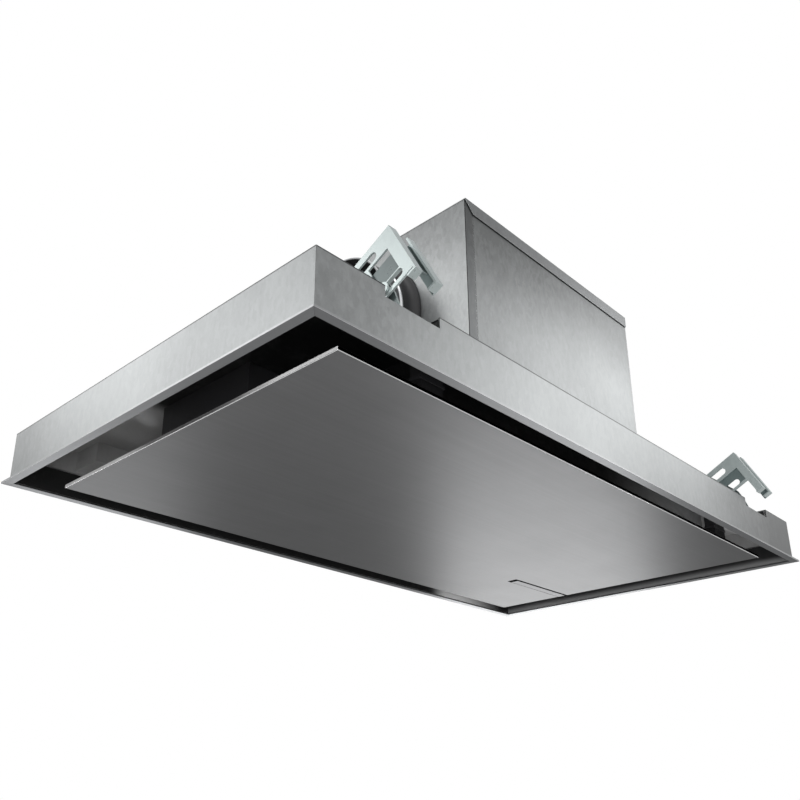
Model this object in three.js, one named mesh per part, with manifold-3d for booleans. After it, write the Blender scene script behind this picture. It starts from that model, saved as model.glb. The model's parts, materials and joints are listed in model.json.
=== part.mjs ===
// A ceiling range hood: a shallow steel tray that hangs in a ceiling cut-out, with a hinged
// suction panel below and a square blower box above that blows out through a round side outlet.
// Millimetres, +Z up. X runs along the long side, Y along the short side, and the origin is the
// middle of the hood in the plane of the ceiling flange's underside.
import * as THREE from "three";
import { mergeVertices } from "three/addons/utils/BufferGeometryUtils.js";
import Module from "manifold-3d";

const wasm = await Module();
wasm.setup();

// Overall sizes
const flange = { length: 900, width: 500, thickness: 2, inset: 9.5, seat: 0.2 };
const tray = { length: 888, width: 487, top: 58, sheet: 1.5 };
const blowerBox = { side: 341, top: 299, sheet: 1.2, fold: 14 };
const notch = { inner: 305, outer: 371, depth: 11, run: 45.5 };
const gap = 0.2; // between pieces that touch

// Suction panel that closes the tray from below
const panel = { length: 790, width: 432, bottom: 1, sheet: 1.2, height: 4 };
const stiffener = { length: 740, width: 380, top: 13, sheet: 1.2 };
const strip = { start: 260, low: 92, high: 107, seam: 0.6 };
const fitting = { x: 282, halfWidth: 14 }; // hinges and catches stand this far from the middle
const hinge = { y: 205, z: 14, pinRadius: 2.5, knuckle: 6, ear: 7.5, earSheet: 2 };
const magnet = { y: -207.5, depth: 13, bottom: 15, top: 38 };

// Filters in their black frame
const cage = { length: 548, width: 390, bottom: 20, sheet: 2, ledge: 10, bar: 16 };
const filter = { height: 9, rim: 12, mesh: 2, play: 1.5 };
const latch = { width: 20, tongue: 1.5, run: 26, tab: 15 };

// Electrical boxes at both ends of the filter frame
const endBox = { inner: 276, outer: 370, width: 140, bottom: 22, sheet: 2 };
const gland = { stem: 8, collar: 12, nut: 10, bore: 4.5, height: 20 };
const board = {
  halfLength: 38, halfWidth: 58, standoff: 5, sheet: 1.6,
  // x and y from the board's middle, then length, width and height
  components: [[-14, -30, 26, 30, 18], [18, -26, 16, 12, 14], [-10, 22, 18, 18, 9], [18, 26, 10, 26, 11]],
};
const terminals = {
  halfBase: 11, halfPole: 9, first: -34, pitch: 11, poleWidth: 9, baseHeight: 6, poleHeight: 14,
};

// Outlet and its two flaps
const outlet = {
  y: -20, z: 187, radius: 74.8, wall: 1.2, inside: -168, end: -220, hole: 75,
};
const bead = { x: -190, rise: 1.4, half: 3, crown: 1.6 };
const rim = { rise: 0.8, width: 2, run: 3 }; // the spigot's rolled end
const collar = { radius: 85, depth: 16.5, lip: 1.5, waist: 80, waistAt: 6, neck: 77.5, neckAt: 11 };
const flap = { x: -176, radius: 71, sheet: 1.2, axle: 2, barrel: 3.4, bore: 2.3, barrelLength: 58 };

// Blower
const blower = { x: 20, y: 46, low: 117, high: 257, sheet: 1.5 };
const scroll = { start: 108, end: 136, lip: 50 };
const inlet = { mouth: 108, throat: 68 };
const wheel = { radius: 96, blade: 12, bladeCount: 24, low: 123, high: 221, hub: 14, shaft: 4 };
const motorSize = { radius: 55, bottom: 227, bore: 4.4 };

// Ceiling clamps: an arm with a slotted cheek on one side and a plain strip on the other slides
// on two pins of a fixed base. Sizes are in the arm's own frame: s runs inwards and down along
// the arm's travel, w down its outer edge and x across it. One arm of each row has a deep cheek
// and the other a short one, and each has a window closed by a plate set back behind it.
const clamp = {
  x: 338, apexY: 231, apexZ: 131, tilt: 28, halfWidth: 16, sheet: 2,
  flangeWidth: 9, strip: 12, lip: 10, web: { s: [5, 6.5], w: [3, 44] },
};
const highSlot = { s: [27.5, 50], w: 11.5, half: 4.5, pin: 4 };
const deepCheek = {
  outline: [[0, 0], [0, 60], [38.5, 60], [42, 52], [42, 42], [58, 21], [58, 0]],
  window: { s: [12, 37], w: [19, 47] }, plate: { s: [11, 38], w: [24.5, 48] },
  slot: { s: [14.5, 32.5], w: 52, half: 4, pin: 3.6 }, end: 63,
};
const shortCheek = {
  outline: [[0, 0], [0, 66], [9, 66], [9, 45], [50, 45], [58, 30], [58, 0]],
  window: { s: [10, 47.5], w: [20.5, 41.5] }, plate: { s: [9, 49], w: [19.5, 42.5] },
  slot: { s: [22.5, 42], w: 36, half: 4.5, pin: 4 }, end: 66.5,
};
const stripEnd = 66.5;
const recess = { plate: [-13.4, -12.2], rim: 1.4 };
const pocket = { half: 35, low: 34, sheet: 1.2, inner: 196 };
const basePlate = { outer: [-11.5, -9.5], inner: [11, 13], edge: 28.5, foot: -205, post: -222 };
const pinHead = { rise: 1.8, depth: 2, from: -18.5 };

const halfLength = tray.length / 2;
const halfWidth = tray.width / 2;
const roofBottom = tray.top - tray.sheet;
const hang = roofBottom - gap; // top of what hangs from the roof
const halfBox = blowerBox.side / 2;
const lidBottom = blowerBox.top - blowerBox.sheet;
const radians = THREE.MathUtils.degToRad;

const finish = {
  galvanised: material(0xb4b9bb, 0.42, 0.85),
  edge: material(0xa6a8aa, 0.35, 0.9),
  brushed: material(0x6e6f71, 0.35, 0.95),
  zinc: material(0xc9d3d4, 0.35, 0.85),
  black: material(0x101112, 0.6, 0.1),
  mesh: material(0xa2a5a8, 0.5, 0.9),
  copperBoard: material(0x1f4a2c, 0.6, 0.05),
  rubber: material(0x161616, 0.8, 0),
  motor: material(0x3a3d40, 0.5, 0.7),
  plated: material(0xd2d4d5, 0.25, 0.9),
};

const hood = new THREE.Group();

function material(color, roughness, metalness) {
  return new THREE.MeshStandardMaterial({ color, roughness, metalness });
}

function add(name, geometry, look, parent = hood) {
  const mesh = new THREE.Mesh(geometry, look);
  mesh.name = name;
  parent.add(mesh);
  return mesh;
}

// A box from its low and high X, Y and Z
function block(x0, x1, y0, y1, z0, z1) {
  const box = new THREE.BoxGeometry(x1 - x0, y1 - y0, z1 - z0);
  return box.translate((x0 + x1) / 2, (y0 + y1) / 2, (z0 + z1) / 2);
}

function outline(points) {
  return new THREE.Shape(points.map(([x, y]) => new THREE.Vector2(x, y)));
}

function extruded(shape, depth, curveSegments = 12) {
  return new THREE.ExtrudeGeometry(shape, { depth, bevelEnabled: false, curveSegments });
}

// A shape drawn in XY, standing from z0 to z1
function standing(shape, z0, z1, curveSegments) {
  return extruded(shape, z1 - z0, curveSegments).translate(0, 0, z0);
}

// A shape drawn in (y, z), running from x0 to x1
function alongX(shape, x0, x1, curveSegments) {
  const turn = new THREE.Matrix4().set(0, 0, 1, x0, 1, 0, 0, 0, 0, 1, 0, 0, 0, 0, 0, 1);
  return extruded(shape, x1 - x0, curveSegments).applyMatrix4(turn);
}

// A closed profile of [radius, height] points turned about +Z through (x, y)
function turned(profile, segments, x = 0, y = 0) {
  const points = profile.map(([r, h]) => new THREE.Vector2(r, h));
  const area = THREE.ShapeUtils.area(points);
  if (area < 0) points.reverse();
  const closed = profile[0][0] > 0 ? [...points, points[0].clone()] : points;
  return new THREE.LatheGeometry(closed, segments).rotateX(Math.PI / 2).translate(x, y, 0);
}

// The same profile turned about +X through (y, z)
function turnedX(profile, segments, y, z) {
  return turned(profile, segments).rotateY(Math.PI / 2).translate(0, y, z);
}

function toSolid(geometry) {
  const bare = geometry.clone();
  bare.deleteAttribute("normal");
  bare.deleteAttribute("uv");
  const merged = mergeVertices(bare, 1e-4);
  const triVerts = new Uint32Array(merged.index.array);
  return new wasm.Manifold(
    new wasm.Mesh({ numProp: 3, vertProperties: merged.attributes.position.array, triVerts }),
  );
}

function toGeometry(solid) {
  const { vertProperties, triVerts } = solid.getMesh();
  const geometry = new THREE.BufferGeometry();
  geometry.setAttribute("position", new THREE.BufferAttribute(vertProperties, 3));
  geometry.setIndex(new THREE.BufferAttribute(triVerts, 1));
  geometry.computeVertexNormals();
  return geometry;
}

function joined(...pieces) {
  return toGeometry(pieces.map(toSolid).reduce((whole, piece) => whole.add(piece)));
}

function cut(piece, ...tools) {
  return toGeometry(tools.map(toSolid).reduce((whole, tool) => whole.subtract(tool), toSolid(piece)));
}

function mirroredPair(make) {
  for (const [side, sign] of [["left", -1], ["right", 1]]) make(side, sign);
}

// Four mitred bars that make the visible flange. The tray walls stand in their shallow seat.
function makeFlange() {
  const outerX = flange.length / 2;
  const outerY = flange.width / 2;
  const innerX = outerX - flange.inset;
  const innerY = outerY - flange.inset;
  const g = gap / 2;
  const seat = block(
    -halfLength - g, halfLength + g, -halfWidth - g, halfWidth + g,
    flange.thickness - flange.seat, flange.thickness + 1,
  );
  const bar = (points) => cut(standing(outline(points), 0, flange.thickness), seat);
  add("flange_front", bar([
    [-outerX + g, -outerY], [outerX - g, -outerY], [innerX - g, -innerY], [-innerX + g, -innerY],
  ]), finish.edge);
  add("flange_rear", bar([
    [-innerX + g, innerY], [innerX - g, innerY], [outerX - g, outerY], [-outerX + g, outerY],
  ]), finish.edge);
  add("flange_left", bar([
    [-outerX, -outerY + g], [-innerX, -innerY + g], [-innerX, innerY - g], [-outerX, outerY - g],
  ]), finish.edge);
  add("flange_right", bar([
    [innerX, -innerY + g], [outerX, -outerY + g], [outerX, outerY - g], [innerX, innerY - g],
  ]), finish.edge);
}

// The cut-outs that let the clamps pull down beside the roof
function notchTools(y0, y1, z0, z1) {
  return [-1, 1].map((sign) => {
    const [x0, x1] = [sign * notch.inner, sign * notch.outer].sort((a, b) => a - b);
    return block(x0, x1, y0, y1, z0, z1);
  });
}

function makeTray() {
  const [x, y, t] = [halfLength, halfWidth, tray.sheet];
  const [low, high] = [flange.thickness - flange.seat, tray.top];
  const g = gap / 2;
  for (const [name, sign] of [["tray_wall_front", -1], ["tray_wall_rear", 1]]) {
    const plan = [[-x + g, y], [-x + t + g, y - t], [x - t - g, y - t], [x - g, y]];
    const wall = standing(outline(plan.map(([a, b]) => [a, sign * b])), low, high);
    const notches = notchTools(-y - 1, y + 1, high - notch.depth, high + 1);
    add(name, cut(wall, ...notches), finish.galvanised);
  }
  for (const [name, sign] of [["tray_wall_left", -1], ["tray_wall_right", 1]]) {
    const plan = [[x, -y + g], [x, y - g], [x - t, y - t - g], [x - t, -y + t + g]];
    add(name, standing(outline(plan.map(([a, b]) => [sign * a, b])), low, high), finish.galvanised);
  }
  const roofX = x - t - gap;
  const roofY = y - t - gap;
  const roof = block(-roofX, roofX, -roofY, roofY, roofBottom, high);
  const bore = (radius, segments, holeX, holeY) => {
    const [from, to] = [roofBottom - 5, high + 5];
    return turned([[0, from], [radius, from], [radius, to], [0, to]], segments, holeX, holeY);
  };
  const mouth = bore(inlet.mouth + 2, 48, blower.x, blower.y);
  const glandHole = bore(gland.stem + 0.4, 24, glandX(), 0);
  add("tray_roof", cut(
    roof, mouth, glandHole,
    ...notchTools(-y, -y + notch.run, roofBottom - 1, high + 1),
    ...notchTools(y - notch.run, y, roofBottom - 1, high + 1),
  ), finish.galvanised);
}

// Side panels, the lid with its two folded edges, and the collar's hole on the left
function makeBlowerBox() {
  const [h, t, fold] = [halfBox, blowerBox.sheet, blowerBox.fold];
  const low = tray.top + gap;
  const high = lidBottom - gap;
  const leftPlan = [
    [-h, -h], [-h + fold, -h], [-h + fold, -h + t], [-h + t, -h + t],
    [-h + t, h - t], [-h + fold, h - t], [-h + fold, h], [-h, h],
  ];
  const [holeFrom, holeTo] = [-h - 10, -h + 10];
  const hole = turnedX(
    [[0, holeFrom], [outlet.hole, holeFrom], [outlet.hole, holeTo], [0, holeTo]], 64, outlet.y, outlet.z,
  );
  add("blower_box_left", cut(standing(outline(leftPlan), low, high), hole), finish.galvanised);
  add("blower_box_right", block(h - t, h, -h + t + gap, h - t - gap, low, high), finish.galvanised);
  add("blower_box_front", block(-h + fold + gap, h, -h, -h + t, low, high), finish.galvanised);
  add("blower_box_rear", block(-h + fold + gap, h, h - t, h, low, high), finish.galvanised);

  const skirt = [
    [-h, blowerBox.top], [-h, lidBottom], [-h + fold, blowerBox.top - fold - 1],
    [h, blowerBox.top - fold - 1], [h, blowerBox.top],
  ];
  const turn = new THREE.Matrix4().set(1, 0, 0, 0, 0, 0, -1, 0, 0, 1, 0, 0, 0, 0, 0, 1);
  const edge = (y) => extruded(outline(skirt), t).applyMatrix4(turn).translate(0, y, 0);
  add("blower_box_lid", joined(
    block(-h, h, -h - gap - t, h + gap + t, lidBottom, blowerBox.top),
    edge(-h - gap),
    edge(h + gap + t),
  ), finish.galvanised);
}

function makeOutlet() {
  const { y, z, radius, wall, end } = outlet;
  const inner = radius - wall;
  const face = -halfBox - gap;
  const tube = [
    [inner, outlet.inside], [radius, outlet.inside],
    [radius, bead.x + bead.half], [radius + bead.rise, bead.x + bead.crown],
    [radius + bead.rise, bead.x - bead.crown], [radius, bead.x - bead.half],
    [radius, end + rim.run], [radius + rim.rise, end + rim.width], [radius + rim.rise, end], [inner, end],
  ];
  add("outlet_spigot", turnedX(tube, 64, y, z), finish.plated);
  const bore = outlet.hole + 0.1;
  const flare = [
    [bore, face], [collar.radius, face], [collar.radius, face - collar.lip],
    [collar.waist, face - collar.waistAt], [collar.neck, face - collar.neckAt],
    [bore + collar.lip, face - collar.depth], [bore, face - collar.depth],
  ];
  add("outlet_collar", turnedX(flare, 64, y, z), finish.black);

  const reach = inner - 0.4;
  const rod = [[0, z - reach], [flap.axle, z - reach], [flap.axle, z + reach], [0, z + reach]];
  add("flap_axle", turned(rod, 20, flap.x, y), finish.plated);
  for (const [name, side] of [["flap_front", -1], ["flap_rear", 1]]) {
    const leafEdge = flap.barrel + 0.6;
    const half = new THREE.Shape();
    const swing = Math.acos(leafEdge / flap.radius);
    half.absarc(0, 0, flap.radius, -swing, swing, false);
    const leaf = alongX(half, -flap.sheet / 2, flap.sheet / 2, 20);
    const barrelLow = side < 0 ? -flap.barrelLength - 2 : 2;
    const barrelHigh = barrelLow + flap.barrelLength;
    const barrel = turned([
      [flap.bore, barrelLow], [flap.barrel, barrelLow],
      [flap.barrel, barrelHigh], [flap.bore, barrelHigh],
    ], 20);
    const thin = flap.sheet / 2;
    const web = block(-thin, thin, flap.bore + 0.6, leafEdge + 1, barrelLow, barrelHigh);
    const piece = joined(leaf, barrel, web);
    if (side < 0) piece.rotateZ(Math.PI);
    add(name, piece.translate(flap.x, y, z), finish.black);
  }
}

// The scroll's inner line: a spiral that grows clockwise, then runs straight to the outlet
function scrollLine(offset) {
  const mouth = outlet.inside + 0.6;
  const points = [[mouth, scroll.lip + offset]];
  const steps = 40;
  const start = Math.asin((scroll.lip - blower.y + offset) / (scroll.start + offset));
  const sweep = 1.5 * Math.PI + start;
  for (let i = 0; i <= steps; i++) {
    const angle = Math.PI - start - (sweep * i) / steps;
    const r = scroll.start + ((scroll.end - scroll.start) * i) / steps + offset;
    points.push([blower.x + r * Math.cos(angle), blower.y + r * Math.sin(angle)]);
  }
  points.push([mouth, blower.y - scroll.end - offset]);
  return points;
}

function makeBlower() {
  const { x, y, low, high, sheet } = blower;
  const wallPlan = [...scrollLine(0), ...scrollLine(sheet).reverse()];
  add("scroll_wall", standing(outline(wallPlan), low + gap, high - gap), finish.galvanised);
  const plate = outline(scrollLine(sheet));
  const throat = turned(
    [[0, low - 5], [inlet.throat + 3, low - 5], [inlet.throat + 3, low + 5], [0, low + 5]], 48, x, y,
  );
  add("scroll_floor", cut(standing(plate, low - sheet, low), throat), finish.galvanised);
  add("scroll_cover", standing(plate, high, high + sheet), finish.galvanised);

  const bellSteps = 5;
  const bell = [[inlet.mouth, roofBottom + 0.5]];
  const back = [[inlet.mouth + 1.5, roofBottom + 0.5]];
  for (let i = 1; i <= bellSteps; i++) {
    const t = i / bellSteps;
    const r = inlet.throat + (inlet.mouth - inlet.throat) * (1 - Math.sin((t * Math.PI) / 2));
    const h = roofBottom + 0.5 + (low + 3 - roofBottom) * t;
    bell.push([r, h]);
    back.push([r + 1.5, h]);
  }
  add("inlet_ring", turned([...bell, ...back.reverse()], 32, x, y), finish.black);

  add("blower_motor", turned([
    [0, high - gap], [motorSize.radius, high - gap], [motorSize.radius, motorSize.bottom],
    [motorSize.bore, motorSize.bottom], [motorSize.bore, high - 12], [0, high - 12],
  ], 40, x, y), finish.motor);
  add("motor_shaft", turned([
    [0, wheel.high - 20], [wheel.shaft, wheel.high - 20], [wheel.shaft, high - 14], [0, high - 14],
  ], 24, x, y), finish.plated);

  // The wheel: a ring, a back plate with its hub, and curved blades between them
  const ring = turned([
    [wheel.radius - wheel.blade, wheel.low], [wheel.radius, wheel.low],
    [wheel.radius, wheel.low + 2], [wheel.radius - wheel.blade, wheel.low + 2],
  ], 48);
  const disc = turned([
    [wheel.shaft + 0.1, wheel.high - 18], [wheel.hub, wheel.high - 18], [wheel.hub, wheel.high - 2],
    [wheel.radius, wheel.high - 2], [wheel.radius, wheel.high], [wheel.shaft + 0.1, wheel.high],
  ], 48);
  const blades = [];
  for (let i = 0; i < wheel.bladeCount; i++) {
    const shape = outline([
      [wheel.radius - wheel.blade + 0.8, 0], [wheel.radius - 0.8, 5],
      [wheel.radius - 1.6, 6], [wheel.radius - wheel.blade + 0.8, 1.4],
    ]);
    const blade = standing(shape, wheel.low + 1, wheel.high - 1);
    blades.push(blade.rotateZ((2 * Math.PI * i) / wheel.bladeCount));
  }
  add("blower_wheel", joined(ring, disc, ...blades).translate(x, y, 0), finish.black);
}

function makeFilters() {
  const [hx, hy] = [cage.length / 2, cage.width / 2];
  const { bottom, sheet, ledge } = cage;
  const shell = cut(
    block(-hx, hx, -hy, hy, bottom, hang),
    block(-hx + sheet, hx - sheet, -hy + sheet, hy - sheet, bottom + 1.5, hang + 1),
    block(-hx + ledge, -cage.bar / 2, -hy + ledge, hy - ledge, bottom - 1, bottom + 2),
    block(cage.bar / 2, hx - ledge, -hy + ledge, hy - ledge, bottom - 1, bottom + 2),
  );
  add("filter_frame", shell, finish.black);

  const low = bottom + 1.5 + gap;
  const tongueLow = low + gap;
  mirroredPair((side, sign) => {
    const inner = 1;
    const outer = hx - sheet - filter.play;
    const [x0, x1] = [sign * inner, sign * outer].sort((a, b) => a - b);
    const yEnd = hy - sheet - filter.play;
    const mid = (x0 + x1) / 2;
    const meshLow = low + (filter.height - filter.mesh) / 2;
    const field = [x0 + filter.rim, x1 - filter.rim, -yEnd + filter.rim, yEnd - filter.rim];
    add(`grease_filter_${side}`, cut(
      block(x0, x1, -yEnd, yEnd, low, low + filter.height),
      block(...field, low - 1, meshLow),
      block(...field, meshLow + filter.mesh, low + filter.height + 1),
      block(mid - latch.width / 2 - 2, mid + latch.width / 2 + 2, -yEnd - 1, -yEnd + 38, low - 1, meshLow),
    ), finish.mesh);
    const tip = -yEnd + 1;
    const [a, b] = [mid - latch.width / 2, mid + latch.width / 2];
    add(`filter_latch_${side}`, joined(
      block(a, b, tip, tip + latch.run, tongueLow, tongueLow + latch.tongue),
      block(a, b, tip + 18, tip + 20, latch.tab, tongueLow + 0.5),
      block(a, b, tip + 14, tip + 20, latch.tab, latch.tab + 1.5),
    ), finish.black);
  });
}

function glandX() {
  return (endBox.inner + endBox.outer) / 2;
}

function makeElectrics() {
  const { inner, outer, width, bottom, sheet } = endBox;
  const tub = (sign) => {
    const [x0, x1] = [sign * inner, sign * outer].sort((a, b) => a - b);
    const y = width / 2;
    return cut(
      block(x0, x1, -y, y, bottom, hang),
      block(x0 + sheet, x1 - sheet, -y + sheet, y - sheet, bottom + sheet, hang + 1),
    );
  };
  add("control_box", tub(-1), finish.black);
  add("mains_box", tub(1), finish.black);

  const floor = bottom + sheet + gap;
  const boardLow = floor + board.standoff;
  const boardTop = boardLow + board.sheet;
  const middle = -glandX();
  const { halfLength: boardX, halfWidth: boardY } = board;
  const pieces = [block(middle - boardX, middle + boardX, -boardY, boardY, boardLow, boardTop)];
  for (const x of [-boardX + 6, boardX - 6]) {
    for (const y of [-boardY + 6, boardY - 6]) {
      const post = [[0, floor], [3, floor], [3, boardLow + 0.5], [0, boardLow + 0.5]];
      pieces.push(turned(post, 12, middle + x, y));
    }
  }
  for (const [x, y, length, width, height] of board.components) {
    const [left, near] = [middle + x - length / 2, y - width / 2];
    pieces.push(block(left, left + length, near, near + width, boardLow + 1, boardTop + height));
  }
  add("control_board", joined(...pieces), finish.copperBoard);

  const { halfBase, halfPole, first, pitch, poleWidth, baseHeight, poleHeight } = terminals;
  const last = first + 2 * pitch;
  const margin = poleWidth / 2 + 3;
  const poles = [0, 1, 2].map((i) => {
    const y = first + i * pitch;
    const [x0, x1] = [glandX() - halfPole, glandX() + halfPole];
    return block(x0, x1, y - poleWidth / 2, y + poleWidth / 2, floor, floor + poleHeight);
  });
  const base = block(
    glandX() - halfBase, glandX() + halfBase, first - margin, last + margin, floor, floor + baseHeight,
  );
  add("terminal_block", joined(base, ...poles), finish.plated);

  const seat = tray.top + gap;
  add("cable_gland", turned([
    [gland.bore, roofBottom - 5], [gland.stem, roofBottom - 5], [gland.stem, seat], [gland.collar, seat],
    [gland.collar, seat + 5], [gland.nut, seat + 6], [gland.nut, seat + gland.height - 4],
    [gland.nut - 3, seat + gland.height], [gland.bore, seat + gland.height],
  ], 24, glandX()), finish.rubber);
}

function makePanel() {
  const [hx, hy] = [panel.length / 2, panel.width / 2];
  const { bottom, sheet } = panel;
  const top = bottom + panel.height;
  const floor = bottom + sheet + gap;
  add("suction_panel", cut(
    block(-hx, hx, -hy, hy, bottom, top),
    block(-hx + sheet, hx - sheet, -hy + sheet, hy - sheet, bottom + sheet, top + 1),
    block(strip.start - strip.seam, hx + 1, strip.low - strip.seam, strip.high + 0.1, 0, top + 1),
  ), finish.brushed);
  add("trim_strip", joined(
    block(strip.start, hx, strip.low, strip.high, bottom, bottom + sheet),
    block(hx - sheet, hx, strip.low, strip.high, bottom, top),
    block(strip.start + 2, stiffener.length / 2 - 4, strip.low, strip.high, bottom + 0.6, floor + 0.4),
    block(strip.start - 2, stiffener.length / 2 - 4, strip.low - 3, strip.high + 3, floor, floor + 1),
  ), finish.plated);

  const [sx, sy] = [stiffener.length / 2, stiffener.width / 2];
  const inner = stiffener.sheet;
  add("panel_stiffener", cut(
    block(-sx, sx, -sy, sy, floor, stiffener.top),
    block(-sx + inner, sx - inner, -sy + inner, sy - inner, floor - 1, stiffener.top - inner),
  ), finish.black);

  mirroredPair((side, sign) => {
    const x = sign * fitting.x;
    const w = fitting.halfWidth;
    const pin = hinge.pinRadius;
    const axis = [hinge.y, hinge.z];
    const knuckle = turnedX([
      [pin + 0.3, x - w], [hinge.knuckle, x - w], [hinge.knuckle, x + w], [pin + 0.3, x + w],
    ], 24, ...axis);
    const inside = hinge.knuckle - 1;
    const [coreFrom, coreTo] = [x - w - 5, x + w + 5];
    const core = turnedX(
      [[0, coreFrom], [inside, coreFrom], [inside, coreTo], [0, coreTo]], 24, ...axis,
    );
    const web = cut(block(x - w, x + w, hinge.y - 3, hinge.y + 3, floor, hinge.z), core);
    const foot = block(x - w, x + w, 192, 211, floor, floor + 2);
    add(`panel_hinge_arm_${side}`, joined(knuckle, web, foot), finish.black);

    const ear = new THREE.Shape();
    ear.moveTo(hinge.y - hinge.ear, hang);
    ear.lineTo(hinge.y - hinge.ear, hinge.z);
    ear.absarc(hinge.y, hinge.z, hinge.ear, Math.PI, 2 * Math.PI, false);
    ear.lineTo(hinge.y + hinge.ear, hang);
    const bore = new THREE.Path();
    bore.absarc(hinge.y, hinge.z, pin + 0.3, 0, 2 * Math.PI, true);
    ear.holes.push(bore);
    const outerX = w + 4;
    add(`hinge_bracket_${side}`, joined(
      alongX(ear, x - outerX, x - outerX + hinge.earSheet, 12),
      alongX(ear, x + outerX - hinge.earSheet, x + outerX, 12),
      block(x - outerX, x + outerX, hinge.y - hinge.ear, hinge.y + hinge.ear, hang - 2, hang),
    ), finish.black);
    const headAt = outerX + gap;
    add(`hinge_pin_${side}`, turnedX([
      [0, x - headAt - 1.5], [pin + 1.6, x - headAt - 1.5], [pin + 1.6, x - headAt], [pin, x - headAt],
      [pin, x + headAt], [pin + 1.6, x + headAt], [pin + 1.6, x + headAt + 1.5], [0, x + headAt + 1.5],
    ], 20, ...axis), finish.plated);

    const d = magnet.depth / 2;
    add(`magnet_catch_${side}`, joined(
      block(x - w, x + w, magnet.y - d, magnet.y + d, magnet.bottom, magnet.top),
      block(x - 10, x + 10, magnet.y - 3, magnet.y + 3, magnet.top - 1, hang),
      block(x - w - 3, x + w + 3, magnet.y - d, magnet.y + d, magnet.bottom, magnet.bottom + 3),
    ), finish.black);
    const plate = block(x - w, x + w, magnet.y - d, magnet.y + d, floor, magnet.bottom - 0.6);
    add(`catch_plate_${side}`, plate, finish.black);
  });
}

// A round-ended slot in the arm's own (s, -w) plane
function slotPath({ s: [s0, s1], w, half }) {
  const path = new THREE.Path();
  path.absarc(s1, -w, half, -Math.PI / 2, Math.PI / 2, false);
  path.absarc(s0, -w, half, Math.PI / 2, 1.5 * Math.PI, false);
  return path;
}

function clampArm(cheek) {
  const { halfWidth: half, sheet, flangeWidth, strip: stripWidth, lip, web } = clamp;
  const bar = (x0, x1, [s0, s1], [w0, w1]) => block(x0, x1, s0, s1, -w1, -w0);
  const rectangle = ({ s: [s0, s1], w: [w0, w1] }) => outline([[s0, -w0], [s1, -w0], [s1, -w1], [s0, -w1]]);

  const side = outline(cheek.outline.map(([s, w]) => [s, -w]));
  side.holes.push(slotPath(highSlot), rectangle(cheek.window));
  const plate = rectangle(cheek.plate);
  const slotted = cheek.slot.w > cheek.window.w[1] ? side : plate;
  slotted.holes.push(slotPath(cheek.slot));

  const { s: [plateStart, plateStop], w: [, plateLow] } = cheek.plate;
  const rimDepth = [-half + sheet - 0.5, recess.plate[1]];
  const flangeDepth = [0, sheet];
  return joined(
    alongX(side, -half, -half + sheet, 6),
    alongX(plate, ...recess.plate, 6),
    bar(...rimDepth, [plateStart, plateStop], [plateLow - recess.rim, plateLow]),
    bar(half - sheet, half, [0, stripWidth], [0, stripEnd]),
    bar(-half, -half + flangeWidth, flangeDepth, [0, cheek.end]),
    bar(half - flangeWidth, half, flangeDepth, [0, stripEnd]),
    bar(-half, -half + flangeWidth, [0, lip], [cheek.end - sheet, cheek.end]),
    bar(half - flangeWidth, half, [0, lip], [stripEnd - sheet, stripEnd]),
    bar(-half + 1, half - 1, web.s, web.w),
  );
}

// The base: a pocket that closes the roof's cut-out from below, two plates that stand in it
// beside the arm's cheek, and the two pins that the arm's slots slide on
function clampBase(x, lowSlot) {
  const { apexY, apexZ, tilt } = clamp;
  const [c, n] = [Math.cos(radians(tilt)), Math.sin(radians(tilt))];
  const fromArm = (s, w) => [c * s - n * w - apexY, apexZ - n * s - c * w];
  const across = ([from, to]) => [x + from, x + to];
  const { half, low, sheet, inner } = pocket;
  const wallFace = halfWidth - tray.sheet - gap;
  const wallTop = tray.top - notch.depth - gap;
  const tub = cut(
    block(x - half, x + half, -wallFace, -inner, low, hang),
    block(x - half + sheet, x + half - sheet, -wallFace + sheet, -inner - sheet, low + sheet, hang + 1),
    block(x - half - 1, x + half + 1, -wallFace - 1, -wallFace + sheet + 0.1, wallTop, hang + 1),
  );
  const { edge, foot, post, outer, inner: innerPlate } = basePlate;
  const bend = 50; // height where the plates' uprights lean over
  const rooted = low + 0.5;
  const back = [fromArm(56, 18), [-199.5, 60], [foot, bend], [foot, rooted]];
  const top = [fromArm(44, 6), fromArm(56, 6)];
  const widePlate = outline([
    ...back, [-239, rooted], [-239, bend], fromArm(edge, 58), fromArm(edge, 46), ...top,
  ]);
  const postPlate = outline([...back, [post, rooted], [post, bend], fromArm(44, 30), ...top]);
  const rod = ({ s, w }, radius, [from, to]) =>
    turnedX([[0, from], [radius, from], [radius, to], [0, to]], 12, ...fromArm(s[1], w));
  const pin = (slot, end) => [
    rod(slot, slot.pin, across([pinHead.from, end])),
    rod(slot, slot.pin + pinHead.rise, across([pinHead.from, pinHead.from + pinHead.depth])),
  ];
  return joined(
    tub, alongX(widePlate, ...across(outer)), alongX(postPlate, ...across(innerPlate)),
    ...pin(highSlot, innerPlate[1]), ...pin(lowSlot, outer[1]),
  );
}

function makeClamps() {
  for (const [row, turn] of [["front", 0], ["rear", Math.PI]]) {
    const seat = new THREE.Group();
    seat.rotation.z = turn;
    hood.add(seat);
    for (const sign of [-1, 1]) {
      const tilted = new THREE.Group();
      tilted.position.set(sign * clamp.x, -clamp.apexY, clamp.apexZ);
      tilted.rotation.x = -radians(clamp.tilt);
      seat.add(tilted);
      const side = (turn === 0 ? sign : -sign) < 0 ? "left" : "right";
      const cheek = sign < 0 ? deepCheek : shortCheek;
      add(`clamp_arm_${row}_${side}`, clampArm(cheek), finish.zinc, tilted);
      add(`clamp_base_${row}_${side}`, clampBase(sign * clamp.x, cheek.slot), finish.zinc, seat);
    }
  }
}

makeFlange();
makeTray();
makeBlowerBox();
makeOutlet();
makeBlower();
makeFilters();
makeElectrics();
makePanel();
makeClamps();

export default hood;
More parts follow.
